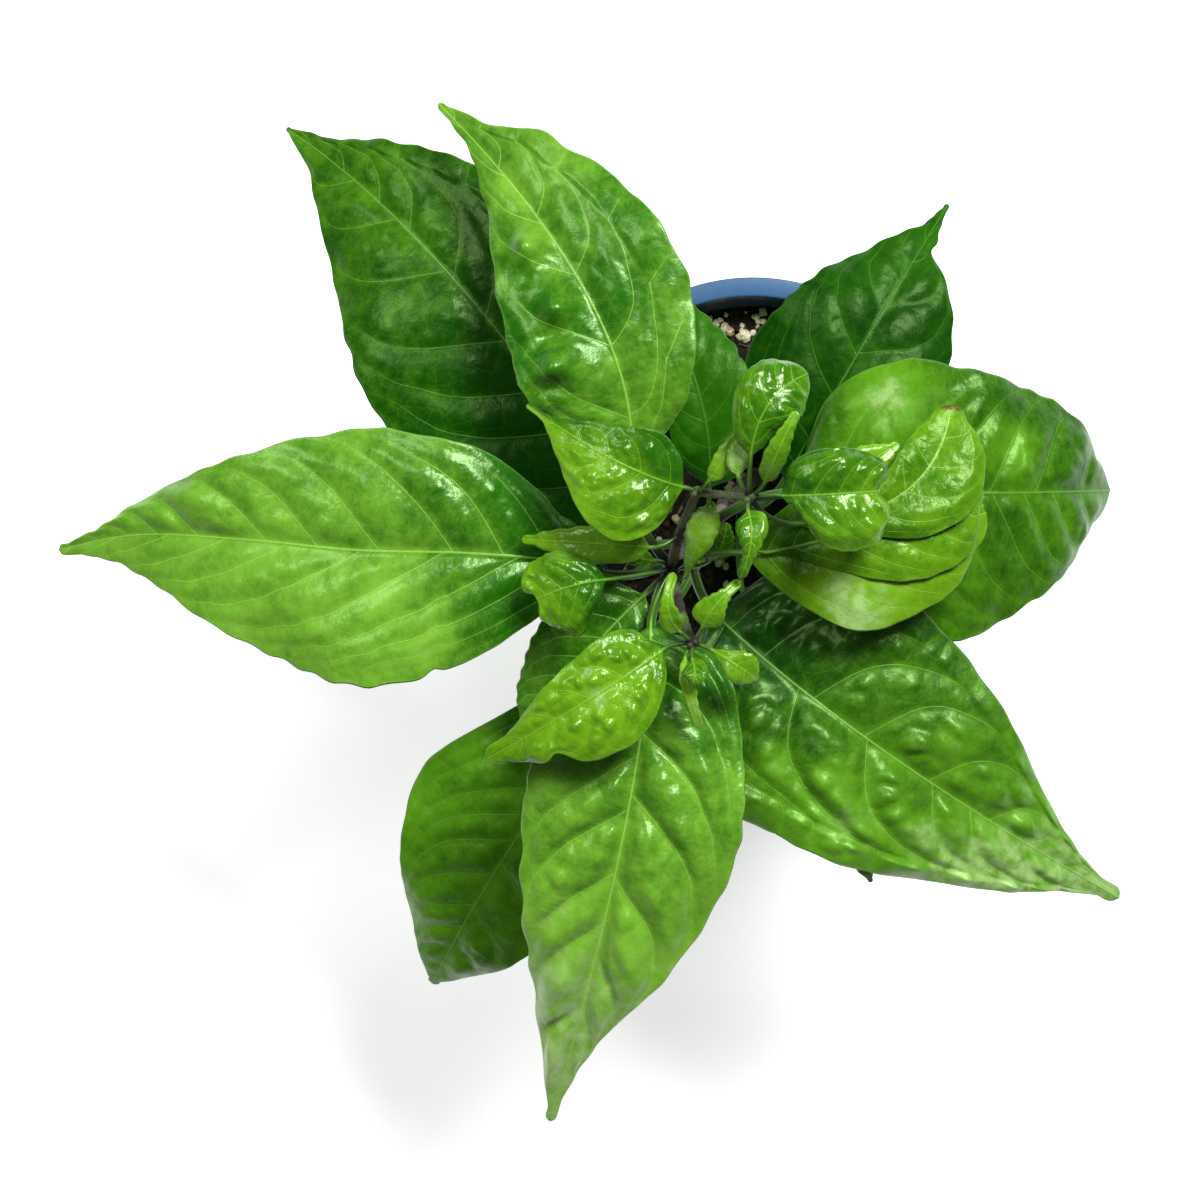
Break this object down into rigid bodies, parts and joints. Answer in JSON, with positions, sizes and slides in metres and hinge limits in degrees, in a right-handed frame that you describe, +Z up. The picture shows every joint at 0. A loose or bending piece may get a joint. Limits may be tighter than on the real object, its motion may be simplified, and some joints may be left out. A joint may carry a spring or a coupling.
{
  "type": "potted carolina reaper pepper",
  "caption": "Young chilli pepper plant with large pointed leaves and small young shoots, rooted in potting mix in a round plastic nursery pot that stands on its flat base.",
  "frame": {"origin": "centre of the pot's flat base, on the surface it stands on", "axes": "+Z up, +Y towards the far side of the plant as seen from above in the picture, +X to the right of that view"},
  "size_m": [0.258, 0.2441, 0.2147],
  "materials": {
    "pot_plastic": "satin",
    "potting_mix": "matte",
    "stem": "satin",
    "leaf_old": "satin",
    "leaf_mature": "satin",
    "leaf_young": "satin"
  },
  "bodies": {
    "root": {"pot": "pot_plastic", "soil": "potting_mix", "stem": "stem", "leaf_west": "leaf_mature", "leaf_northwest": "leaf_old", "leaf_north": "leaf_mature", "leaf_north_inner": "leaf_old", "leaf_northeast": "leaf_old", "leaf_east": "leaf_old", "leaf_southeast": "leaf_old", "leaf_south": "leaf_mature", "leaf_southwest": "leaf_old", "leaf_southeast_low": "leaf_old", "leaf_southwest_inner": "leaf_mature", "leaf_east_back": "leaf_young", "leaf_east_middle": "leaf_young", "leaf_east_front": "leaf_young", "shoot_leaf_southwest": "leaf_young", "shoot_leaf_northwest": "leaf_young", "shoot_leaf_west_cupped": "leaf_young", "shoot_leaf_west_narrow": "leaf_young", "shoot_leaf_north_round": "leaf_young", "shoot_leaf_north_narrow": "leaf_young", "shoot_leaf_east": "leaf_young", "shoot_leaf_northeast_narrow": "leaf_young", "shoot_leaf_south_narrow": "leaf_young", "shoot_leaf_north_curled": "leaf_young", "shoot_leaf_east_small": "leaf_young", "shoot_leaf_centre": "leaf_young", "shoot_leaf_centre_small": "leaf_mature", "shoot_leaf_west_tiny": "leaf_young", "south_shoot_leaf_north": "leaf_young", "south_shoot_leaf_east": "leaf_young", "south_shoot_leaf_northwest": "leaf_young", "south_shoot_leaf_south": "leaf_young", "south_shoot_leaf_tiny": "leaf_young"}
  },
  "joints": []
}
